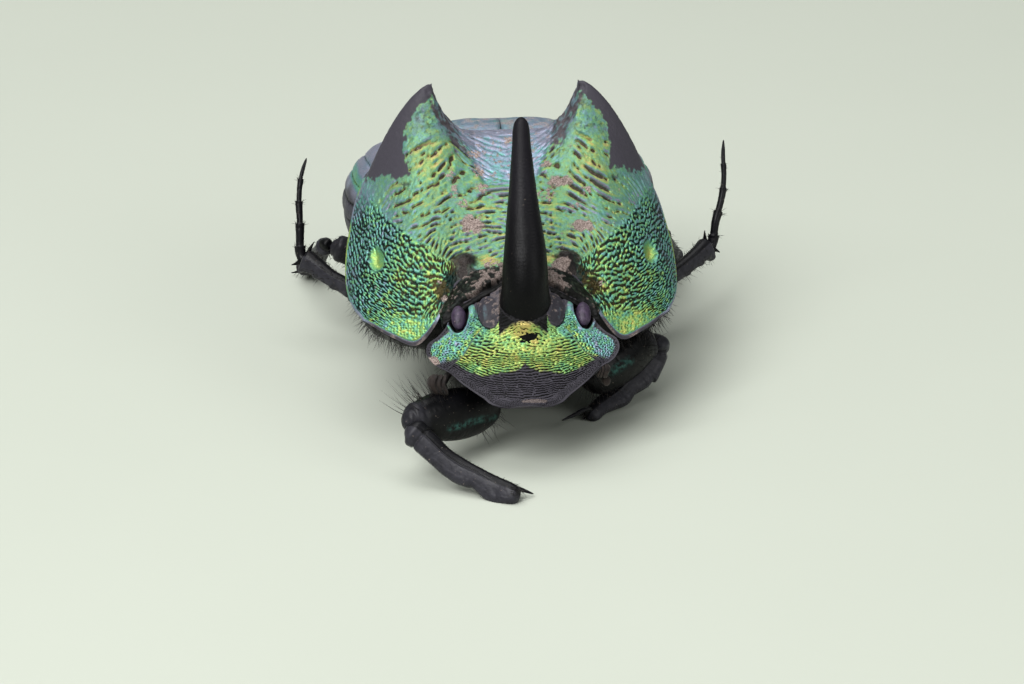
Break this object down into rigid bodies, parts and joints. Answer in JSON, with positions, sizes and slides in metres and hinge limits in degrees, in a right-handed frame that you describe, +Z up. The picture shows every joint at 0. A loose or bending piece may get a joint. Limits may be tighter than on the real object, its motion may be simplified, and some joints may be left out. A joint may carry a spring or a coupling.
{
  "type": "horned dung beetle figure",
  "caption": "Still life-size model of a metallic green horned dung beetle standing with one fore leg reaching forward and its middle legs raised",
  "frame": {"origin": "middle of the footprint, on the floor the animal stands on", "axes": "-Y is the way the animal faces, +X is the animal's left, +Z is up"},
  "size_m": [0.0144, 0.0218, 0.0099],
  "materials": {
    "green_cuticle": "metallic green wrinkled cuticle with yellow and blue lights",
    "wing_case": "satin blue violet cuticle with green lights, finely grooved",
    "black_cuticle": "satin black cuticle",
    "eye": "dark violet, finely faceted",
    "feeler": "dull brown grey, velvety"
  },
  "bodies": {
    "root": {"abdomen": "black_cuticle", "antenna_left": "feeler", "antenna_right": "feeler", "coxa_fore_left": "black_cuticle", "coxa_fore_right": "black_cuticle", "coxa_hind_left": "black_cuticle", "coxa_hind_right": "black_cuticle", "coxa_mid_left": "black_cuticle", "coxa_mid_right": "black_cuticle", "elytron_left": "wing_case", "elytron_right": "wing_case", "eye_left": "eye", "eye_right": "eye", "femur_fore_left": "black_cuticle", "femur_fore_right": "black_cuticle", "femur_hind_left": "black_cuticle", "femur_hind_right": "black_cuticle", "femur_mid_left": "black_cuticle", "femur_mid_right": "black_cuticle", "head": "green_cuticle", "horn": "black_cuticle", "mouthparts": "feeler", "pronotum": "green_cuticle", "prothorax": "black_cuticle", "pterothorax": "black_cuticle", "pygidium": "green_cuticle", "spur_fore_left": "black_cuticle", "spur_fore_right": "black_cuticle", "tarsus_hind_left": "black_cuticle", "tarsus_hind_right": "black_cuticle", "tarsus_mid_left": "black_cuticle", "tarsus_mid_right": "black_cuticle", "tibia_fore_left": "black_cuticle", "tibia_fore_right": "black_cuticle", "tibia_hind_left": "black_cuticle", "tibia_hind_right": "black_cuticle", "tibia_mid_left": "black_cuticle", "tibia_mid_right": "black_cuticle"}
  },
  "joints": []
}
